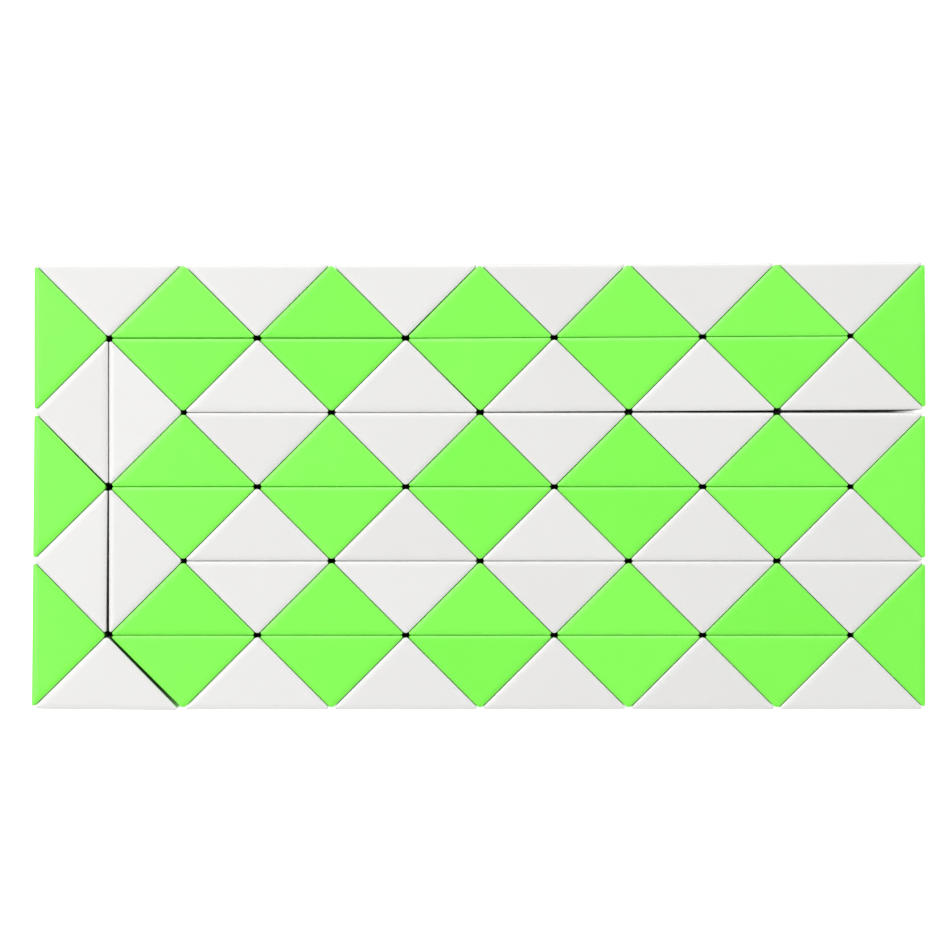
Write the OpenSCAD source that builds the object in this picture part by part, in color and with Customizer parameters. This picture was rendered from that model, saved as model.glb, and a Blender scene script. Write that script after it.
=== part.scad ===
// Twisty snake puzzle, folded flat into a rectangle of three double rows.
// 72 right-angled wedges in a chain, each joined to the next by a spring-loaded screw
// through the middle of the square faces. +Z is up, the origin is the middle of the underside.

/* [Wedges] */
// Long edge of a wedge's triangular face
long_edge = 24; // [18:0.5:40]
// Wall thickness of a shell
wall = 1.5; // [1.3:0.1:1.8]
// Thickness of the cap that closes a shell's long side
cap_thick = 1.2; // [0.8:0.1:1.4]
// Rounding at the right-angled edge
apex_round = 0.7; // [0.3:0.1:1.5]
// Rounding at the two sharp edges
tip_round = 0.3; // [0.1:0.05:0.6]
// Depth of the locating lips inside a cap
lip_depth = 1; // [0.5:0.1:1.5]

/* [Folding] */
// Rows of wedges, always an even number
rows = 6; // [4:2:8]
// Pairs of wedges along a row
pairs = 6; // [4:2:8]

/* [Lay] */
// Degrees that the column's lower half stands off from the rows, open at its lower end
column_lean = 0.5; // [0:0.05:0.6]
// Degrees that the right half of the first two rows stands up, open at its right end
row_swing = 0.3; // [0:0.05:0.4]

/* [Clearances] */
// Space between two square faces joined by a screw
joint_gap = 0.1; // [0.06:0.01:0.3]
// Space between two long faces that lie against each other
fold_gap = 0.08; // [0.08:0.01:0.5]
// Radial clearance of everything that turns
running_fit = 0.08; // [0.04:0.01:0.1]
// Clearance of a cap in its shell
cap_fit = 0.05; // [0.02:0.01:0.15]

/* [Joints] */
// Diameter of the raised hub on a square face
hub_d = 9; // [7:0.5:11]
// Height of the raised hub
hub_h = 0.6; // [0.4:0.1:0.7]
// Distance of the click bumps from the joint's axis
click_r = 3.2; // [2.6:0.1:3.4]
// Diameter of a click bump
bump_d = 1.2; // [0.8:0.1:1.4]
// Height of a click bump
bump_h = 0.25; // [0.2:0.05:0.3]
// Diameter of the screw's thread
screw_d = 2.2; // [2:0.1:2.5]
// Diameter of the screw's head
head_d = 3.6; // [3.2:0.1:3.8]
// Height of the screw's head
head_h = 1.2; // [1:0.1:1.2]
// Outer diameter of the boss that the screw bites into
boss_d = 4; // [3.6:0.1:4.2]
// Length of the spring under the screw's head
spring_len = 1.6; // [1.4:0.1:1.8]
// Wire diameter of the spring
wire_d = 0.45; // [0.3:0.05:0.5]
// Turns of the spring
spring_turns = 3; // [2:1:4]

/* [Hidden] */
$fn = 48;
root2 = sqrt(2);
leg = long_edge / root2;
thick = leg;
half = long_edge / 2;
wedges = 2 * rows * pairs;
row_pitch = 2 * pairs - 1;
set_back = joint_gap / 2;
arc_steps = 4;
// where x + y ends on the long face's outside, and on the cap's inside
long_face = leg - fold_gap / 2 * root2;
cap_inside = long_face - cap_thick * root2;
inner = set_back + wall;
recess_h = hub_h;
groove_h = 0.3;
groove_side = 0.15;
dimple_h = 0.45;
pilot_end = 4.2;
boss_end = pilot_end + 0.2;
screw_end = pilot_end - 0.1;
point_len = 0.6;
rest_gap = 0.12;
spring_at = inner + rest_gap;
head_at = spring_at + spring_len + rest_gap;
web = 0.15;
slot_w = 0.5;
slot_depth = 0.6;
slot_len = 2.4;
overlap = 0.01;

white = "whitesmoke";
green = "lime";
steel = "silver";

// Joints at which the chain turns back on itself; every other joint runs straight on.
turn_joints = concat(
    [1, rows],
    [for (r = [1 : rows - 1], side = [0, 1]) rows + row_pitch * r + side]
);

// One wedge of the folded chain is [apex, entry tip, exit tip]. Its entry leg, from the apex
// to the entry tip, lies against the exit leg of the wedge before.
function rotated(p, a) = [p[0] * cos(a) - p[1] * sin(a), p[0] * sin(a) + p[1] * cos(a)];
function turned(w) = [w[0], w[2], 2 * w[0] - w[1]];
function straight(w) = [w[2], w[0], w[0] + w[2] - w[1]];
function is_turn(n) = len(search(n, turn_joints)) > 0;

// The play in a joint lets the wedges after it swing a little about the edge where its faces
// still touch.
function swing_at(n) =
    n == rows - 2 ? column_lean
    : n == rows + pairs - 1 ? row_swing
    : n == rows + 2 * row_pitch - pairs + 2 ? -row_swing
    : 0;
function swung(w, angle) = [for (p = w) w[0] + rotated(p - w[0], angle)];
function next_wedge(w, n) = swung(is_turn(n) ? turned(w) : straight(w), swing_at(n));

// The chain starts at the lower left, lies along the underside's plane, and is then centred.
first_wedge = [for (p = [[1, 1], [2, 0], [0, 0]]) rotated(p * half, -column_lean)];
laid = [for (n = 1, w = first_wedge; n <= wedges; w = next_wedge(w, n), n = n + 1) w];
function middle_of(v) = (min(v) + max(v)) / 2;
centre = [for (axis = [0, 1]) middle_of([for (w = laid, p = w) p[axis]])];
chain = [for (w = laid) [for (p = w) p - centre]];

// Bodies that the turns divide the chain into: [name, first wedge, last wedge]
function row_start(r) = rows + row_pitch * (r - 1) + (r == 1 ? 1 : 2);
function row_end(r) = rows + row_pitch * r;
single_runs = concat(
    [["second_wedge", 2]],
    [for (r = [1 : rows - 1]) [str("turn_wedge_", r), row_end(r) + 1]]
);
row_runs = [for (r = [1 : rows]) [str("row_", r), row_start(r), row_end(r)]];
column_run = ["column", 3, rows];

NODES = concat(
    ["end_wedge_shell_and_cap"],
    [for (s = single_runs, kind = ["shell", "cap", "screw_and_spring"]) str(s[0], "_", kind)],
    [for (colour = ["green", "white"], kind = ["shells", "caps"]) str("column_", colour, "_", kind)],
    ["column_screws_and_springs"],
    [for (r = row_runs, colour = ["green", "white"], kind = ["shells", "caps"])
        str(r[0], "_", colour, "_", kind)],
    [for (r = row_runs, kind = ["screws", "springs"]) str(r[0], "_", kind)]
);
node = "all";

function wedge_colour(n) = n % 2 == 0 ? green : white;
function heading(v) = atan2(v[1], v[0]);
function side_of(a, b) = a[0] * b[1] - a[1] * b[0];

// Wedges a to b that have the given parity, 0 for the green ones and 1 for the white
function of_parity(a, b, parity) = [for (n = [a : b]) if (n % 2 == parity) n];

// Places a wedge's own frame: its apex is the origin, x runs along the entry leg and
// y along the exit leg, and z = 0 is the middle of its thickness.
module at_wedge(n) {
    apex = chain[n - 1][0];
    entry = chain[n - 1][1] - apex;
    exit = chain[n - 1][2] - apex;
    flip = side_of(entry, exit) > 0 ? 0 : 180;
    translate([apex[0], apex[1], thick / 2])
        rotate([flip, 0, heading(entry)])
            children();
}

// Places a joint's own frame, with z pointing into the wedge from the face's middle.
module at_entry() {
    translate([leg / 2, 0, 0]) rotate([-90, 0, 0]) children();
}

module at_exit() {
    translate([0, leg / 2, 0]) rotate([0, 90, 0]) children();
}

// Points of a corner rounded to r, at p between the directions of its two sides
function corner(p, from, to, r) =
    let (
        bisector = (from + to) / norm(from + to),
        half_angle = acos(bisector * from),
        centre = p + bisector * r / sin(half_angle),
        sweep = 180 - 2 * half_angle,
        middle = heading(-bisector)
    )
    [for (i = [0 : arc_steps])
        let (a = middle + sweep * (i / arc_steps - 0.5))
        centre + r * [cos(a), sin(a)]];

module outline() {
    along = [1, 0];
    up = [0, 1];
    slope = [1, -1] / root2;
    tip = long_face - set_back;
    polygon(concat(
        corner([set_back, set_back], along, up, apex_round),
        corner([tip, set_back], -along, -slope, tip_round),
        corner([set_back, tip], slope, -up, tip_round)
    ));
}

module slab(height) {
    translate([0, 0, -height / 2]) linear_extrude(height) children();
}

// Raised hub with four click bumps, and the boss behind it
module hub() {
    translate([0, 0, set_back - hub_h]) cylinder(h = hub_h + overlap, d = hub_d);
    for (a = [0 : 90 : 270])
        rotate([0, 0, a])
            translate([click_r, 0, set_back - hub_h - bump_h])
                cylinder(h = bump_h + overlap, d = bump_d);
}

module boss() {
    translate([0, 0, inner - overlap]) cylinder(h = boss_end - inner + overlap, d = boss_d);
}

module pilot_hole() {
    translate([0, 0, set_back - hub_h - overlap])
        cylinder(h = pilot_end + hub_h - set_back + overlap, d = screw_d);
}

// Recess that takes the neighbour's hub, with a groove for its bumps and four dimples
module hub_recess() {
    floor_at = set_back + recess_h;
    groove_w = bump_d / 2 + groove_side;
    translate([0, 0, -overlap]) cylinder(h = floor_at + overlap, d = hub_d + 2 * running_fit);
    rotate_extrude()
        translate([click_r - groove_w, floor_at - overlap])
            square([2 * groove_w, groove_h + overlap]);
    for (a = [0 : 90 : 270])
        rotate([0, 0, a])
            translate([click_r, 0, floor_at])
                cylinder(h = dimple_h, d = bump_d + 2 * groove_side);
    cylinder(h = inner + overlap, d = screw_d + 2 * running_fit);
}

module cavity() {
    far = long_edge;
    slab(thick - 2 * wall) polygon([[inner, inner], [far, inner], [far, far], [inner, far]]);
}

module shell(n) {
    has_entry = n > 1;
    has_exit = n < wedges;
    difference() {
        union() {
            difference() {
                slab(thick) outline();
                cavity();
            }
            if (has_entry) at_entry() hub();
            if (has_entry) at_entry() boss();
        }
        if (has_entry) at_entry() pilot_hole();
        if (has_exit) at_exit() hub_recess();
    }
}

// Trapezoid between the cap's inside and outside, or any two such lines
module cap_strip(inside, outside) {
    edge = inner + cap_fit;
    polygon([
        [edge, inside - edge],
        [edge, outside - edge],
        [outside - edge, edge],
        [inside - edge, edge]
    ]);
}

module cap() {
    height = thick - 2 * (wall + cap_fit);
    slab(height) cap_strip(cap_inside, long_face);
    for (side = [-1, 1])
        translate([0, 0, side * (height - wall) / 2])
            slab(wall)
                cap_strip(cap_inside - lip_depth * root2, cap_inside + overlap);
}

// Pan-head screw on the joint's axis: z = 0 is the plane between the two square faces,
// the head lies at negative z inside the wedge before, and the point in this wedge's boss.
module screw() {
    difference() {
        rotate_extrude()
            polygon([
                [0, -head_at - head_h],
                [head_d / 2 - 0.4, -head_at - head_h],
                [head_d / 2, -head_at - head_h + 0.4],
                [head_d / 2, -head_at],
                [screw_d / 2, -head_at],
                [screw_d / 2, screw_end - point_len],
                [0, screw_end]
            ]);
        for (a = [0, 90])
            rotate([0, 0, a])
                translate([-slot_len / 2, -slot_w / 2, -head_at - head_h - overlap])
                    cube([slot_len, slot_w, slot_depth]);
    }
}

// Closely wound spring between the screw's head and the wall of the wedge before
module spring() {
    pitch = (spring_len - wire_d) / (spring_turns - 1);
    mean_r = (head_d - wire_d) / 2;
    rotate_extrude() {
        for (i = [0 : spring_turns - 1])
            translate([mean_r, -spring_at - wire_d / 2 - i * pitch]) circle(d = wire_d, $fn = 24);
        translate([mean_r - web / 2, -spring_at - spring_len + wire_d / 2])
            square([web, spring_len - wire_d]);
    }
}

module shells(numbers) {
    for (n = numbers) color(wedge_colour(n)) at_wedge(n) shell(n);
}

module caps(numbers) {
    for (n = numbers) color(wedge_colour(n)) at_wedge(n) cap();
}

module screws(numbers) {
    for (n = numbers) color(steel) at_wedge(n) at_entry() screw();
}

module springs(numbers) {
    for (n = numbers) color(steel) at_wedge(n) at_entry() spring();
}

// True when the node to draw is the given one, or all of them
function wanted(name) = node == "all" || node == name;

if (wanted("end_wedge_shell_and_cap")) {
    shells([1]);
    caps([1]);
}

for (s = single_runs) {
    if (wanted(str(s[0], "_shell"))) shells([s[1]]);
    if (wanted(str(s[0], "_cap"))) caps([s[1]]);
    if (wanted(str(s[0], "_screw_and_spring"))) {
        screws([s[1]]);
        springs([s[1]]);
    }
}

if (wanted("column_screws_and_springs")) {
    screws([column_run[1] : column_run[2]]);
    springs([column_run[1] : column_run[2]]);
}

for (r = concat([column_run], row_runs)) {
    if (wanted(str(r[0], "_green_shells"))) shells(of_parity(r[1], r[2], 0));
    if (wanted(str(r[0], "_white_shells"))) shells(of_parity(r[1], r[2], 1));
    if (wanted(str(r[0], "_green_caps"))) caps(of_parity(r[1], r[2], 0));
    if (wanted(str(r[0], "_white_caps"))) caps(of_parity(r[1], r[2], 1));
}

for (r = row_runs) {
    if (wanted(str(r[0], "_screws"))) screws([r[1] : r[2]]);
    if (wanted(str(r[0], "_springs"))) springs([r[1] : r[2]]);
}
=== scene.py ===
"""Twisty snake puzzle folded flat: moulded green and white wedges on spring-loaded screws."""

import math

import bmesh
import bpy
import numpy as np
from mathutils import Matrix, Vector


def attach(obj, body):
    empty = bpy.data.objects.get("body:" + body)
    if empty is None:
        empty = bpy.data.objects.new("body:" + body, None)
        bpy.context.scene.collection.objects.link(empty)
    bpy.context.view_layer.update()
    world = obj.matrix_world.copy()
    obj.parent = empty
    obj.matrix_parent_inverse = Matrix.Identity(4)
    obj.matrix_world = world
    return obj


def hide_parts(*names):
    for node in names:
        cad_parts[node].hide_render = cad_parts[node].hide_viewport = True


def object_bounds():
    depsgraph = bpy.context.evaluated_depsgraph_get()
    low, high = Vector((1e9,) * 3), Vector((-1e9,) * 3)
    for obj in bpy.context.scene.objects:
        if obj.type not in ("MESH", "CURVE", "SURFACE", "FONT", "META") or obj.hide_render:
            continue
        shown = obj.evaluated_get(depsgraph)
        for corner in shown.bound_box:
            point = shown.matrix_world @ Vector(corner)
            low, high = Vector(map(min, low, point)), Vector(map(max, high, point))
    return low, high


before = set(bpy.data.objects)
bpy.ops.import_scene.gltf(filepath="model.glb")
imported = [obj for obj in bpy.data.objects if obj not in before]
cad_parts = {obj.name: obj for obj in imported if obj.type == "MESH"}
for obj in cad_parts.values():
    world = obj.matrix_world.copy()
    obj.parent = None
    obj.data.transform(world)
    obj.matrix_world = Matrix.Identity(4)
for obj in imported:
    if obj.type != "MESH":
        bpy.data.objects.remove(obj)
cad_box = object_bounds()

# ---------------------------------------------------------------- sizes, in metres
MM = 0.001
ROOT2 = math.sqrt(2)

# The square faces are as wide as the rectangle is thick, and give every other size of a wedge.
THICK = cad_box[1].z - cad_box[0].z
LEG = THICK
LONG = LEG * ROOT2
HALF = LONG / 2
PAIRS = round((cad_box[1].x - cad_box[0].x) / LONG)
ROWS = round((cad_box[1].y - cad_box[0].y) / HALF)
WEDGES = 2 * ROWS * PAIRS
ROW_PITCH = 2 * PAIRS - 1

WALL = 1.5 * MM
# How far the square faces and the long face stand back from the chain's exact triangles
JOINT_BACK = 0.05 * MM
FOLD_BACK = 0.04 * MM
INNER = JOINT_BACK + WALL

# The play that the folded chain has settled into
COLUMN_LEAN = math.radians(0.5)
ROW_SWING = math.radians(0.3)

# The outline's corners, and the fall of the triangular faces towards every edge
APEX_ROUND = 0.7 * MM
TIP_ROUND = 0.3 * MM
LEAST_ROUND = 0.02 * MM
CORNER_STEPS = 6
EDGE_ROUND = 1.1 * MM
EDGE_DROP = 0.28 * MM
EDGE_STEPS = 8

CAP_THICK = 1.2 * MM
CAP_FIT = 0.05 * MM
CAP_SUNK = 0.06 * MM
CAP_ROUND = 0.16 * MM
MOUTH_ROUND = 0.14 * MM
MOUTH_CORNER = 0.5 * MM
LIP_DEPTH = 1.0 * MM
LIP_THICK = 1.4 * MM
CAVITY_END = 1.2 * MOUTH_CORNER

HUB_R = 4.5 * MM
HUB_H = 0.6 * MM
HUB_ROUND = 0.12 * MM
RUNNING_FIT = 0.08 * MM
CLICK_R = 3.2 * MM
BUMP_R = 0.6 * MM
BUMP_H = 0.25 * MM
BUMP_ANGLES = (math.pi / 8, math.pi / 4, 3 * math.pi / 8)
GROOVE_SIDE = 0.15 * MM
GROOVE_H = 0.3 * MM
DIMPLE_H = 0.45 * MM
# A dimple's curve, as (share of its radius, share of its depth)
DIMPLE_CURVE = ((0.92, 0.6), (0.6, 0.9))
BOSS_R = 2.0 * MM
PILOT_R = 1.1 * MM
PILOT_END = 4.2 * MM
BOSS_END = 4.4 * MM

SPRING_LEN = 1.6 * MM
SPRING_GAP = 0.12 * MM
SPRING_TURNS = 3
WIRE_R = 0.21 * MM
# How many turns are closed up at each end, and their rise in a turn, in wire thicknesses
END_TURNS = 0.8
END_RISE = 0.624

HEAD_R = 1.8 * MM
HEAD_H = 1.2 * MM
HEAD_WALL = 0.45
HEAD_RIM = 0.1 * MM
HEAD_FILLET = 0.15 * MM
HEAD_STEPS = 6
SPRING_AT = INNER + SPRING_GAP
HEAD_AT = SPRING_AT + SPRING_LEN + SPRING_GAP
THREAD_R = 1.08 * MM
THREAD_CORE = 0.82 * MM
THREAD_PITCH = 0.8 * MM
THREAD_START = 0.3 * MM
THREAD_STEPS = 8
RIDGE_SHARE = 0.32
SCREW_END = 4.1 * MM
POINT_LEN = 0.7 * MM

# The cross recess in a screw's head: half its length and width, and its depth and taper
CROSS_L = 1.15 * MM
CROSS_W = 0.26 * MM
CROSS_DEPTH = 0.75 * MM
CROSS_TAPER = 0.62
CROSS_ABOVE = 0.2 * MM

# Segments round hubs, bosses, screws and springs, and round bumps and dimples
ROUND = 64
HALF_ROUND = ROUND // 2
THIN_ROUND = 28
SMALL_ROUND = 20
WIRE_ROUND = 8
# Points closer together than this are merged
WELD = 0.001 * MM

SHARP_ANGLE = math.radians(38)
FACE_WEIGHT = 100
# The golden ratio's fraction, which spreads the wedges' shades evenly
TONE_STEP = 0.618034


# ---------------------------------------------------------------- the folded chain
def rotated(point, angle):
    c, s = math.cos(angle), math.sin(angle)
    return np.array([point[0] * c - point[1] * s, point[0] * s + point[1] * c])


def swing_at(number):
    """How far the play in the joint after a wedge lets the later wedges swing."""
    swings = {
        ROWS - 2: COLUMN_LEAN,
        ROWS + PAIRS - 1: ROW_SWING,
        ROWS + 2 * ROW_PITCH - PAIRS + 2: -ROW_SWING,
    }
    return swings.get(number, 0.0)


def folded_chain():
    """Each wedge as its (apex, entry tip, exit tip) in metres, centred on the origin."""
    turns = {1, ROWS} | {ROWS + ROW_PITCH * r + side for r in range(1, ROWS) for side in (0, 1)}
    first_wedge = ((1, 1), (2, 0), (0, 0))
    apex, entry, leave = (rotated(np.array(p) * HALF, -COLUMN_LEAN) for p in first_wedge)
    chain = []
    for number in range(1, WEDGES + 1):
        chain.append((apex, entry, leave))
        if number in turns:
            wedge = (apex, leave, 2 * apex - entry)
        else:
            wedge = (leave, apex, apex + leave - entry)
        edge = wedge[0]
        apex, entry, leave = (edge + rotated(p - edge, swing_at(number)) for p in wedge)
    chain = np.array(chain)
    corners = chain.reshape(-1, 2)
    return chain - (corners.min(axis=0) + corners.max(axis=0)) / 2


CHAIN = folded_chain()


def wedge_place(number):
    """A wedge's own frame: apex at the origin, x along the entry leg, y along the exit leg."""
    apex, entry, leave = (Vector((p[0], p[1], THICK / 2)) for p in CHAIN[number - 1])
    x_axis = (entry - apex).normalized()
    y_axis = (leave - apex).normalized()
    z_axis = x_axis.cross(y_axis)
    place = Matrix((x_axis, y_axis, z_axis)).transposed().to_4x4()
    place.translation = apex
    return place


# The joint's frame on the entry face and on the exit face: z points into the wedge.
ENTRY = Matrix.Translation((LEG / 2, 0, 0)) @ Matrix.Rotation(math.radians(-90), 4, "X")
EXIT = Matrix.Translation((0, LEG / 2, 0)) @ Matrix.Rotation(math.radians(90), 4, "Y")
# The long face's frame: z points out of the wedge, and x runs along the long edge.
LONG_FACE = (
    Matrix.Rotation(math.radians(45), 4, "Z")
    @ Matrix.Translation((HALF, 0, 0))
    @ Matrix.Rotation(math.radians(90), 4, "X")
    @ Matrix.Rotation(math.radians(90), 4, "Y")
)


# ---------------------------------------------------------------- mesh helpers
def make_object(name, points, faces, place=None):
    mesh = bpy.data.meshes.new(name)
    mesh.from_pydata([tuple(p) for p in points], [], faces)
    if place is not None:
        mesh.transform(place)
    mesh.validate()
    made = bpy.data.objects.new(name, mesh)
    bpy.context.scene.collection.objects.link(made)
    return made


def loft(name, rings, place=None):
    """A closed solid through rings of equally many points, anticlockwise seen from the last."""
    count = len(rings[0])
    faces = [tuple(reversed(range(count)))]
    for level in range(len(rings) - 1):
        low, high = level * count, (level + 1) * count
        for i in range(count):
            j = (i + 1) % count
            faces.append((low + i, low + j, high + j, high + i))
    last = (len(rings) - 1) * count
    faces.append(tuple(last + i for i in range(count)))
    return make_object(name, np.concatenate(rings), faces, place)


def circle(segments):
    """The angles of a circle's points."""
    return [2 * math.pi * i / segments for i in range(segments)]


def ring_about_z(radius, z, angles):
    return [(radius * math.cos(a), radius * math.sin(a), z) for a in angles]


def pointed(name, bottom, rings, top, place=None):
    """A closed solid through rings about z, between one point on the axis at each end."""
    count = len(rings[0])
    points = [(0, 0, bottom)]
    for ring in rings:
        points += ring
    points.append((0, 0, top))
    last = len(points) - 1
    faces = []
    for i in range(count):
        j = (i + 1) % count
        faces.append((0, 1 + j, 1 + i))
        for level in range(len(rings) - 1):
            low, high = 1 + level * count, 1 + (level + 1) * count
            faces.append((low + i, low + j, high + j, high + i))
        faces.append((last, last - count + i, last - count + j))
    return make_object(name, points, faces, place)


def turn(name, profile, place=None, segments=ROUND):
    """A solid of revolution. The profile's (radius, z) points start and end on the axis, z rising."""
    angles = circle(segments)
    rings = [ring_about_z(radius, z, angles) for radius, z in profile[1:-1]]
    return pointed(name, profile[0][1], rings, profile[-1][1], place)


def combine(base, tool, operation):
    """Leaves base with tool added to or cut from it, and deletes tool."""
    step = base.modifiers.new("combine", "BOOLEAN")
    step.operation = operation
    step.solver = "EXACT"
    step.object = tool
    bpy.context.view_layer.update()
    graph = bpy.context.evaluated_depsgraph_get()
    mesh = bpy.data.meshes.new_from_object(base.evaluated_get(graph))
    base.modifiers.clear()
    base.data = mesh
    bpy.data.objects.remove(tool)
    return base


def weld(made):
    """Merges the near-double points that cutting leaves behind."""
    mesh = bmesh.new()
    mesh.from_mesh(made.data)
    bmesh.ops.remove_doubles(mesh, verts=mesh.verts, dist=WELD)
    bmesh.ops.dissolve_degenerate(mesh, edges=mesh.edges, dist=WELD)
    mesh.to_mesh(made.data)
    mesh.free()


# ---------------------------------------------------------------- shapes of one wedge
def rounded_corner(at, side_a, side_b, radius):
    """Points of an arc that rounds the corner at, between the directions of its two sides."""
    side_a, side_b = np.array(side_a), np.array(side_b)
    middle = (side_a + side_b) / np.linalg.norm(side_a + side_b)
    half_angle = math.acos(middle @ side_a)
    centre = at + middle * radius / math.sin(half_angle)
    facing = math.atan2(-middle[1], -middle[0])
    sweep = math.pi - 2 * half_angle
    angles = [facing + sweep * (i / CORNER_STEPS - 0.5) for i in range(CORNER_STEPS + 1)]
    return [centre + radius * np.array([math.cos(a), math.sin(a)]) for a in angles]


def wedge_ring(inset, z):
    """The wedge's triangular outline, drawn in by inset, at height z."""
    low = JOINT_BACK + inset
    reach = LEG - (FOLD_BACK + inset) * ROOT2
    apex_r = max(APEX_ROUND - inset, LEAST_ROUND)
    tip_r = max(TIP_ROUND - inset, LEAST_ROUND)
    x_way, y_way = np.array([1.0, 0.0]), np.array([0.0, 1.0])
    slope = np.array([1.0, -1.0]) / ROOT2
    points = rounded_corner(np.array([low, low]), x_way, y_way, apex_r)
    points += rounded_corner(np.array([reach - low, low]), -x_way, -slope, tip_r)
    points += rounded_corner(np.array([low, reach - low]), slope, -y_way, tip_r)
    return np.array([(p[0], p[1], z) for p in points])


def rounded_block(name):
    """The wedge's outside: the two triangular faces fall away a little towards every edge."""
    rings = []
    for side in (-1, 1):
        steps = range(EDGE_STEPS + 1)
        for step in steps if side > 0 else reversed(steps):
            angle = math.pi / 2 * step / EDGE_STEPS
            inset = EDGE_ROUND * (1 - math.cos(angle))
            z = side * (THICK / 2 - EDGE_DROP * (1 - math.sin(angle)))
            rings.append(wedge_ring(inset, z))
    return loft(name, rings)


def long_face_ring(depth, grow):
    """A rounded rectangle that fits between the shell's walls at a depth below the long face."""
    half_w = HALF - FOLD_BACK - depth - INNER * ROOT2 + grow
    half_h = THICK / 2 - WALL + grow
    corner = max(MOUTH_CORNER + grow, LEAST_ROUND)
    points = []
    for quarter, (side_x, side_y) in enumerate(((1, 1), (-1, 1), (-1, -1), (1, -1))):
        for i in range(CORNER_STEPS + 1):
            angle = math.pi / 2 * (quarter + i / CORNER_STEPS)
            points.append((
                side_x * (half_w - corner) + corner * math.cos(angle),
                side_y * (half_h - corner) + corner * math.sin(angle),
                -FOLD_BACK - depth,
            ))
    return np.array(points)


def cavity():
    """The hollow inside a shell, with a rounded mouth where the cap goes in."""
    deepest = HALF - FOLD_BACK - INNER * ROOT2 - CAVITY_END
    rings = [
        long_face_ring(deepest, 0),
        long_face_ring(MOUTH_ROUND, 0),
        long_face_ring(MOUTH_ROUND * 0.3, MOUTH_ROUND * 0.35),
        long_face_ring(0, MOUTH_ROUND),
        long_face_ring(-WALL, MOUTH_ROUND - WALL),
    ]
    return loft("cavity", rings, LONG_FACE)


def click_places():
    """Where the four clicks are, in the joint's frame."""
    out = Matrix.Translation((CLICK_R, 0, 0))
    return [Matrix.Rotation(math.radians(90 * quarter), 4, "Z") @ out for quarter in range(4)]


def hub_parts():
    """The raised hub with its four click bumps, and the boss behind it, in the joint's frame."""
    top = JOINT_BACK - HUB_H
    parts = [
        turn("hub", [
            (0, top),
            (HUB_R - HUB_ROUND, top),
            (HUB_R, top + HUB_ROUND),
            (HUB_R, JOINT_BACK + WALL / 3),
            (0, JOINT_BACK + WALL / 3),
        ], ENTRY),
        turn("boss", [
            (0, INNER - WALL / 3),
            (BOSS_R + HUB_ROUND, INNER - WALL / 3),
            (BOSS_R + HUB_ROUND, INNER),
            (BOSS_R, INNER + 2 * HUB_ROUND),
            (BOSS_R, BOSS_END - HUB_ROUND),
            (BOSS_R - HUB_ROUND, BOSS_END),
            (0, BOSS_END),
        ], ENTRY, HALF_ROUND),
    ]
    profile = [(0, top - BUMP_H)]
    profile += [(BUMP_R * math.sin(a), top - BUMP_H * math.cos(a)) for a in BUMP_ANGLES]
    profile += [(BUMP_R, top), (BUMP_R, top + BUMP_H), (0, top + BUMP_H)]
    for spot in click_places():
        parts.append(turn("bump", profile, ENTRY @ spot, SMALL_ROUND))
    return parts


def recess_parts():
    """Cut from the exit face: the hub's recess, the bumps' groove, four dimples, the screw's hole."""
    floor_at = JOINT_BACK + HUB_H
    wide = HUB_R + RUNNING_FIT
    groove = BUMP_R + GROOVE_SIDE
    parts = [turn("recess", [
        (0, -HUB_H),
        (wide + HUB_ROUND + HUB_H, -HUB_H),
        (wide + HUB_ROUND, JOINT_BACK),
        (wide, JOINT_BACK + HUB_ROUND),
        (wide, floor_at),
        (CLICK_R + groove, floor_at),
        (CLICK_R + groove - GROOVE_H / 2, floor_at + GROOVE_H),
        (CLICK_R - groove + GROOVE_H / 2, floor_at + GROOVE_H),
        (CLICK_R - groove, floor_at),
        (PILOT_R + RUNNING_FIT + HUB_ROUND, floor_at),
        (PILOT_R + RUNNING_FIT, floor_at + HUB_ROUND),
        (PILOT_R + RUNNING_FIT, INNER + WALL / 3),
        (0, INNER + WALL / 3),
    ], EXIT)]
    profile = [(0, floor_at), (groove, floor_at)]
    profile += [(groove * across, floor_at + DIMPLE_H * down) for across, down in DIMPLE_CURVE]
    profile.append((0, floor_at + DIMPLE_H))
    for spot in click_places():
        parts.append(turn("dimple", profile, EXIT @ spot, SMALL_ROUND))
    return parts


def pilot_hole():
    """What is cut from the boss, for the screw's thread."""
    top = JOINT_BACK - HUB_H
    return turn("pilot", [
        (0, top - HUB_H),
        (PILOT_R + HUB_ROUND + HUB_H, top - HUB_H),
        (PILOT_R + HUB_ROUND, top),
        (PILOT_R, top + HUB_ROUND),
        (PILOT_R, PILOT_END - PILOT_R / 3),
        (0, PILOT_END),
    ], ENTRY, HALF_ROUND)


def shell(has_entry, has_exit):
    """One moulded shell. The chain's two ends have a plain square face."""
    block = rounded_block("shell")
    combine(block, cavity(), "DIFFERENCE")
    if has_entry:
        for part in hub_parts():
            combine(block, part, "UNION")
        combine(block, pilot_hole(), "DIFFERENCE")
    if has_exit:
        for part in recess_parts():
            combine(block, part, "DIFFERENCE")
    weld(block)
    return block


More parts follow.
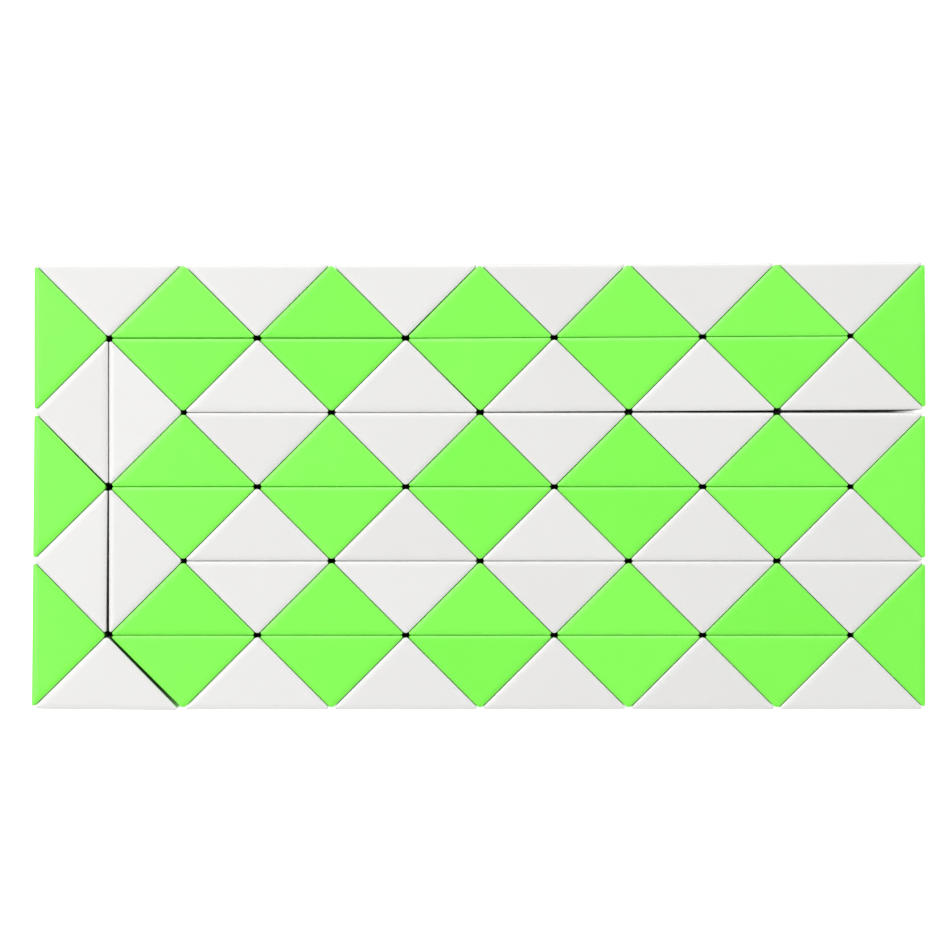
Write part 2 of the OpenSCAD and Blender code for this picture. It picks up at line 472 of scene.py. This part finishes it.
def cap():
    """The plate that closes a shell's long side, with a locating lip inside each triangular wall."""
    rings = [
        long_face_ring(CAP_THICK, -CAP_FIT),
        long_face_ring(CAP_SUNK + CAP_ROUND, -CAP_FIT),
        long_face_ring(CAP_SUNK + CAP_ROUND * 0.3, -CAP_FIT - CAP_ROUND * 0.3),
        long_face_ring(CAP_SUNK, -CAP_FIT - CAP_ROUND),
    ]
    plate = loft("cap", rings, LONG_FACE)
    for side in (-1, 1):
        lip_rings = []
        for depth in (CAP_THICK + LIP_DEPTH, CAP_THICK - CAP_ROUND):
            half_w = HALF - FOLD_BACK - depth - (INNER + CAP_FIT) * ROOT2 - MOUTH_CORNER
            outer = side * (THICK / 2 - WALL - CAP_FIT - CAP_ROUND)
            inner = outer - side * LIP_THICK
            low, high = min(outer, inner), max(outer, inner)
            corners = ((half_w, low), (half_w, high), (-half_w, high), (-half_w, low))
            lip_rings.append(np.array([(x, y, -FOLD_BACK - depth) for x, y in corners]))
        combine(plate, loft("lip", lip_rings, LONG_FACE), "UNION")
    return plate


def thread_radius(z, angle, start):
    """The screw's radius at a height and angle, with a thread that ends in a point."""
    taper = min(1.0, (SCREW_END - z) / POINT_LEN)
    growth = min(1.0, (z - start) / THREAD_PITCH)
    phase = (z / THREAD_PITCH - angle / (2 * math.pi)) % 1.0
    ridge = max(0.0, 1 - abs(phase - 0.5) / RIDGE_SHARE)
    return (THREAD_CORE + (THREAD_R - THREAD_CORE) * ridge * growth) * taper


def cross_slot(turned):
    """One of the two crossed slots in a screw's head."""
    rings = []
    for grow, above in ((1.0, -CROSS_ABOVE), (CROSS_TAPER, CROSS_DEPTH)):
        half_l, half_w, z = CROSS_L * grow, CROSS_W * grow, -HEAD_AT - HEAD_H + above
        corners = ((-half_l, -half_w), (half_l, -half_w), (half_l, half_w), (-half_l, half_w))
        rings.append(np.array([(x, y, z) for x, y in corners]))
    return loft("slot", rings, Matrix.Rotation(math.radians(turned), 4, "Z"))


def screw():
    """A pan-head self-tapping screw in the joint's frame, its head inside the wedge before."""
    angles = circle(THIN_ROUND)
    dome = []
    for i in range(1, HEAD_STEPS + 1):
        angle = math.pi / 2 * i / HEAD_STEPS
        height = HEAD_H * (HEAD_WALL + (1 - HEAD_WALL) * math.cos(angle))
        dome.append((HEAD_R * math.sin(angle), -HEAD_AT - height))
    neck = [
        (HEAD_R, -HEAD_AT - HEAD_RIM),
        (HEAD_R - HEAD_RIM, -HEAD_AT),
        (THREAD_CORE + HEAD_FILLET, -HEAD_AT),
        (THREAD_CORE, -HEAD_AT + HEAD_FILLET),
    ]
    rings = [ring_about_z(radius, z, angles) for radius, z in dome + neck]
    start = -HEAD_AT + THREAD_START
    steps = round((SCREW_END - start) / THREAD_PITCH * THREAD_STEPS)
    for i in range(steps):
        z = start + (SCREW_END - start) * i / steps
        radii = [thread_radius(z, a, start) for a in angles]
        rings.append([(r * math.cos(a), r * math.sin(a), z) for r, a in zip(radii, angles)])
    made = pointed("screw", -HEAD_AT - HEAD_H, rings, SCREW_END)
    for turned in (0, 90):
        combine(made, cross_slot(turned), "DIFFERENCE")
    made.data.transform(ENTRY)
    return made


def spring():
    """The coil spring under the screw's head, its end turns closed up."""
    mean_r = HEAD_R - WIRE_R
    low, high = -SPRING_AT - SPRING_LEN + WIRE_R, -SPRING_AT - WIRE_R
    end_rise = 2 * WIRE_R * END_RISE
    free_rise = high - low - end_rise * 2 * END_TURNS
    up = np.array([0, 0, 1.0])
    steps = THIN_ROUND * SPRING_TURNS
    rings = []
    for i in range(steps + 1):
        at = SPRING_TURNS * i / steps
        share = min(max((at - END_TURNS) / (SPRING_TURNS - 2 * END_TURNS), 0.0), 1.0)
        closed = min(at, END_TURNS) + max(at - (SPRING_TURNS - END_TURNS), 0.0)
        angle = 2 * math.pi * at
        out = np.array([math.cos(angle), math.sin(angle), 0.0])
        centre = out * mean_r + up * (low + closed * end_rise + free_rise * share)
        ring = [centre + WIRE_R * (math.cos(b) * out + math.sin(b) * up) for b in circle(WIRE_ROUND)]
        rings.append(np.array(ring[::-1]))
    made = loft("spring", rings)
    made.data.transform(ENTRY)
    return made


# ---------------------------------------------------------------- materials
def new_material(name):
    made = bpy.data.materials.new(name)
    made.use_nodes = True
    tree = made.node_tree
    tree.nodes.clear()
    output = tree.nodes.new("ShaderNodeOutputMaterial")
    shader = tree.nodes.new("ShaderNodeBsdfPrincipled")
    tree.links.new(shader.outputs["BSDF"], output.inputs["Surface"])
    return made, tree, shader


def add_noise(tree, scale, detail, roughness=0.5):
    """Noise in the part's own metres, with scale in waves per metre."""
    place = tree.nodes.new("ShaderNodeTexCoord")
    made = tree.nodes.new("ShaderNodeTexNoise")
    made.inputs["Scale"].default_value = scale
    made.inputs["Detail"].default_value = detail
    made.inputs["Roughness"].default_value = roughness
    tree.links.new(place.outputs["Object"], made.inputs["Vector"])
    return made.outputs["Fac"]


def add_range(tree, value, low, high, from_low=0.0, from_high=1.0):
    made = tree.nodes.new("ShaderNodeMapRange")
    made.inputs["From Min"].default_value = from_low
    made.inputs["From Max"].default_value = from_high
    made.inputs["To Min"].default_value = low
    made.inputs["To Max"].default_value = high
    tree.links.new(value, made.inputs["Value"])
    return made.outputs["Result"]


def add_math(tree, operation, first, second):
    """A maths node on one value and either a second value or a plain number."""
    made = tree.nodes.new("ShaderNodeMath")
    made.operation = operation
    tree.links.new(first, made.inputs[0])
    if isinstance(second, (int, float)):
        made.inputs[1].default_value = second
    else:
        tree.links.new(second, made.inputs[1])
    return made.outputs["Value"]


def add_colours(tree, factor, a, b):
    made = tree.nodes.new("ShaderNodeMix")
    made.data_type = "RGBA"
    made.inputs["A"].default_value = (*a, 1)
    made.inputs["B"].default_value = (*b, 1)
    tree.links.new(factor, made.inputs["Factor"])
    return made.outputs["Result"]


def add_bump(tree, height, strength, distance, normal=None):
    made = tree.nodes.new("ShaderNodeBump")
    made.inputs["Strength"].default_value = strength
    made.inputs["Distance"].default_value = distance
    tree.links.new(height, made.inputs["Height"])
    if normal is not None:
        tree.links.new(normal, made.inputs["Normal"])
    return made.outputs["Normal"]


def moulded_plastic(name, dark, light, roughness):
    """Satin injection-moulded plastic: batches differ a little from wedge to wedge, flow marks
    drift across a face, and the mould's fine texture breaks up the shine."""
    made, tree, shader = new_material(name)
    tone = tree.nodes.new("ShaderNodeAttribute")
    tone.attribute_name = "tone"
    flow = add_noise(tree, 90, 3, 0.6)
    drift = add_range(tree, flow, -0.15, 0.15, 0.3, 0.7)
    shade = add_math(tree, "ADD", tone.outputs["Fac"], drift)
    tree.links.new(add_colours(tree, shade, dark, light), shader.inputs["Base Color"])
    smudge = add_noise(tree, 160, 3, 0.5)
    shine = add_range(tree, smudge, roughness - 0.015, roughness + 0.025, 0.2, 0.8)
    tree.links.new(shine, shader.inputs["Roughness"])
    grain = add_bump(tree, add_noise(tree, 5200, 2), 0.12, 0.02 * MM)
    wave = add_bump(tree, add_noise(tree, 420, 2), 0.10, 0.04 * MM, grain)
    tree.links.new(wave, shader.inputs["Normal"])
    shader.inputs["Subsurface Weight"].default_value = 0.3
    shader.inputs["Subsurface Scale"].default_value = 1.0 * MM
    shader.inputs["Subsurface Radius"].default_value = (1, 1, 1)
    shader.inputs["IOR"].default_value = 1.5
    shader.inputs["Specular IOR Level"].default_value = 0.45
    return made


def steel(name, colour, roughness):
    """Plain steel, duller and rougher where it is stained."""
    made, tree, shader = new_material(name)
    stain = add_noise(tree, 1500, 4, 0.6)
    stained = [0.75 * c for c in colour]
    clean = add_range(tree, stain, 0, 1, 0.3, 0.7)
    tree.links.new(add_colours(tree, clean, stained, colour), shader.inputs["Base Color"])
    shine = add_range(tree, stain, roughness + 0.1, roughness - 0.05, 0.3, 0.7)
    tree.links.new(shine, shader.inputs["Roughness"])
    shader.inputs["Metallic"].default_value = 1.0
    return made


GREENS = ((0.183, 0.785, 0.067), (0.208, 0.82, 0.082))
WHITES = ((0.648, 0.643, 0.632), (0.674, 0.670, 0.659))
MATERIALS = {
    "green_plastic": moulded_plastic("green_plastic", *GREENS, 0.30),
    "white_plastic": moulded_plastic("white_plastic", *WHITES, 0.30),
    "steel": steel("steel", (0.62, 0.62, 0.63), 0.3),
    "spring_steel": steel("spring_steel", (0.5, 0.5, 0.52), 0.22),
}


# ---------------------------------------------------------------- the puzzle
PATTERNS = {
    "first_shell": shell(False, True),
    "shell": shell(True, True),
    "last_shell": shell(True, False),
    "cap": cap(),
    "screw": screw(),
    "spring": spring(),
}
for pattern in PATTERNS.values():
    bpy.context.scene.collection.objects.unlink(pattern)


# The odd wedges, counted from 1, are white, and the even ones green.
SLOTS = ("green_plastic", "white_plastic")


def shell_pattern(number):
    return {1: "first_shell", WEDGES: "last_shell"}.get(number, "shell")


def tone_of(number):
    """A wedge's own shade, from 0 to 1, spread evenly but without a visible order."""
    return (number * TONE_STEP) % 1.0


def placed_points(mesh, number):
    """A pattern's points, moved from the wedge's own frame to the part's."""
    points = np.empty(len(mesh.vertices) * 3)
    mesh.vertices.foreach_get("co", points)
    place = np.array(wedge_place(number))
    return points.reshape(-1, 3) @ place[:3, :3].T + place[:3, 3]


def repeated_mesh(name, contents):
    """One mesh of every (pattern, wedge number) in contents, each wedge with its own tone."""
    points, corners, sizes, tones = [], [], [], []
    offset = 0
    for pattern, number in contents:
        mesh = PATTERNS[pattern].data
        here = placed_points(mesh, number)
        loops = np.empty(len(mesh.loops), int)
        mesh.loops.foreach_get("vertex_index", loops)
        size = np.empty(len(mesh.polygons), int)
        mesh.polygons.foreach_get("loop_total", size)
        points.append(here)
        corners.append(loops + offset)
        sizes.append(size)
        tones.append(np.full(len(here), tone_of(number)))
        offset += len(here)
    points, corners, sizes = np.concatenate(points), np.concatenate(corners), np.concatenate(sizes)
    made = bpy.data.meshes.new(name)
    made.vertices.add(len(points))
    made.vertices.foreach_set("co", points.ravel())
    made.loops.add(len(corners))
    made.loops.foreach_set("vertex_index", corners)
    made.polygons.add(len(sizes))
    made.polygons.foreach_set("loop_start", np.concatenate(([0], np.cumsum(sizes)[:-1])))
    made.update(calc_edges=True)
    made.validate()
    tone = made.attributes.new("tone", "FLOAT", "POINT")
    tone.data.foreach_set("value", np.concatenate(tones).astype(np.float32))
    return made


def build_piece(name, node, body, slot, contents):
    """One shown piece that stands for a CAD node. contents lists (pattern, wedge number)."""
    mesh = repeated_mesh(name, contents)
    mesh.shade_smooth()
    mesh.set_sharp_from_angle(angle=SHARP_ANGLE)
    mesh.materials.append(MATERIALS[slot])
    made = bpy.data.objects.new(name, mesh)
    bpy.context.scene.collection.objects.link(made)
    smooth = made.modifiers.new("face_normals", "WEIGHTED_NORMAL")
    smooth.keep_sharp = True
    smooth.weight = FACE_WEIGHT
    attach(made, body)
    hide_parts(node)


def build_lone_wedge(body, number):
    """The pieces of a body that is a single wedge. The chain's first wedge has no screw."""
    slot = SLOTS[number % 2]
    shell_part, cap_part = (shell_pattern(number), number), ("cap", number)
    if number == 1:
        build_piece("end_wedge", f"{body}_shell_and_cap", body, slot, [shell_part, cap_part])
        return
    build_piece(f"{body}_moulded_shell", f"{body}_shell", body, slot, [shell_part])
    build_piece(f"{body}_long_cap", f"{body}_cap", body, slot, [cap_part])
    fastener = [("screw", number), ("spring", number)]
    build_piece(f"{body}_fastener", f"{body}_screw_and_spring", body, "steel", fastener)


def build_run(body, first, last):
    """The pieces of a body that holds the chain's wedges from first to last."""
    numbers = range(first, last + 1)
    for parity, colour in enumerate(("green", "white")):
        own = [n for n in numbers if n % 2 == parity]
        shells = [(shell_pattern(n), n) for n in own]
        caps = [("cap", n) for n in own]
        slot = SLOTS[parity]
        build_piece(f"{body}_{colour}_moulded_shells", f"{body}_{colour}_shells", body, slot, shells)
        build_piece(f"{body}_{colour}_long_caps", f"{body}_{colour}_caps", body, slot, caps)
    screws = [("screw", n) for n in numbers]
    springs = [("spring", n) for n in numbers]
    if body == "column":
        both = screws + springs
        build_piece(f"{body}_fasteners", f"{body}_screws_and_springs", body, "steel", both)
        return
    build_piece(f"{body}_pan_screws", f"{body}_screws", body, "steel", screws)
    build_piece(f"{body}_coil_springs", f"{body}_springs", body, "spring_steel", springs)


def row_end(row):
    """The number of a row's last wedge. The first wedge after it turns into the next row."""
    return ROWS + ROW_PITCH * row


def build_puzzle():
    build_lone_wedge("end_wedge", 1)
    build_lone_wedge("second_wedge", 2)
    build_run("column", 3, ROWS)
    build_run("row_1", row_end(0) + 1, row_end(1))
    for row in range(2, ROWS + 1):
        build_lone_wedge(f"turn_wedge_{row - 1}", row_end(row - 1) + 1)
        build_run(f"row_{row}", row_end(row - 1) + 2, row_end(row))


build_puzzle()


# ---------------------------------------------------------------- floor, light and camera
def footprint_distance(tree):
    """Metres outside the part's outline on the floor, negative under the part."""
    place = tree.nodes.new("ShaderNodeTexCoord")
    parts = tree.nodes.new("ShaderNodeSeparateXYZ")
    tree.links.new(place.outputs["Object"], parts.inputs["Vector"])
    outside = []
    for axis, reach in (("X", cad_box[1].x), ("Y", cad_box[1].y)):
        from_middle = add_math(tree, "ABSOLUTE", parts.outputs[axis], 0)
        outside.append(add_math(tree, "SUBTRACT", from_middle, reach))
    return add_math(tree, "MAXIMUM", *outside)


def floor():
    """A plain pale floor that glows a little round the part, where its shadow would fall."""
    made, tree, shader = new_material("floor")
    shader.inputs["Base Color"].default_value = (0.88, 0.88, 0.88, 1)
    shader.inputs["Roughness"].default_value = 0.9
    shader.inputs["Specular IOR Level"].default_value = 0.1
    shader.inputs["Emission Color"].default_value = (1, 1, 1, 1)
    # The glow starts under the part's edge, and dies away over the next few centimetres.
    glow = 0.6
    distance = footprint_distance(tree)
    rise = add_range(tree, distance, 0, glow, -4 * MM, 0)
    fade = add_range(tree, distance, 0, -glow, 12 * MM, 60 * MM)
    tree.links.new(add_math(tree, "ADD", rise, fade), shader.inputs["Emission Strength"])
    reach, z = 1.5, cad_box[0].z
    corners = [(-reach, -reach, z), (reach, -reach, z), (reach, reach, z), (-reach, reach, z)]
    plane = make_object("floor", corners, [(0, 1, 2, 3)])
    plane.data.materials.append(made)


def soft_light(name, place, size, power):
    """A rectangular lamp, its size in metres and its power in watts, aimed at the part."""
    target = Vector((0, 0, THICK))
    data = bpy.data.lights.new(name, "AREA")
    data.shape = "RECTANGLE"
    data.size, data.size_y = size
    data.energy = power
    made = bpy.data.objects.new(name, data)
    made.location = place
    made.rotation_euler = (target - Vector(place)).to_track_quat("-Z", "Y").to_euler()
    bpy.context.scene.collection.objects.link(made)


def studio():
    """Soft light from above, a low strip behind that rims the edges, and a weak panel in front."""
    world = bpy.data.worlds.new("studio")
    world.use_nodes = True
    backdrop = world.node_tree.nodes["Background"]
    backdrop.inputs["Color"].default_value = (1, 1, 1, 1)
    backdrop.inputs["Strength"].default_value = 0.42
    bpy.context.scene.world = world
    soft_light("overhead", (-0.35, 0.05, 0.6), (0.4, 0.4), 1.6)
    soft_light("key", (-0.15, 0.72, 1.05), (1.8, 0.2), 13.5)
    soft_light("fill", (0, -1.6, 0.9), (3.0, 1.4), 8)
    bpy.context.scene.view_settings.view_transform = "Standard"


def camera():
    """Straight above, far enough away to be almost free of perspective."""
    view_width = 153.5 * MM
    look_at = Vector((-0.6 * MM, 1.75 * MM, THICK))
    data = bpy.data.cameras.new("camera")
    data.sensor_width = 36.0
    data.lens = 180.0
    data.clip_start = 0.05
    made = bpy.data.objects.new("camera", data)
    made.location = look_at + Vector((0, 0, view_width * data.lens / data.sensor_width))
    bpy.context.scene.collection.objects.link(made)
    bpy.context.scene.camera = made


floor()
studio()
camera()
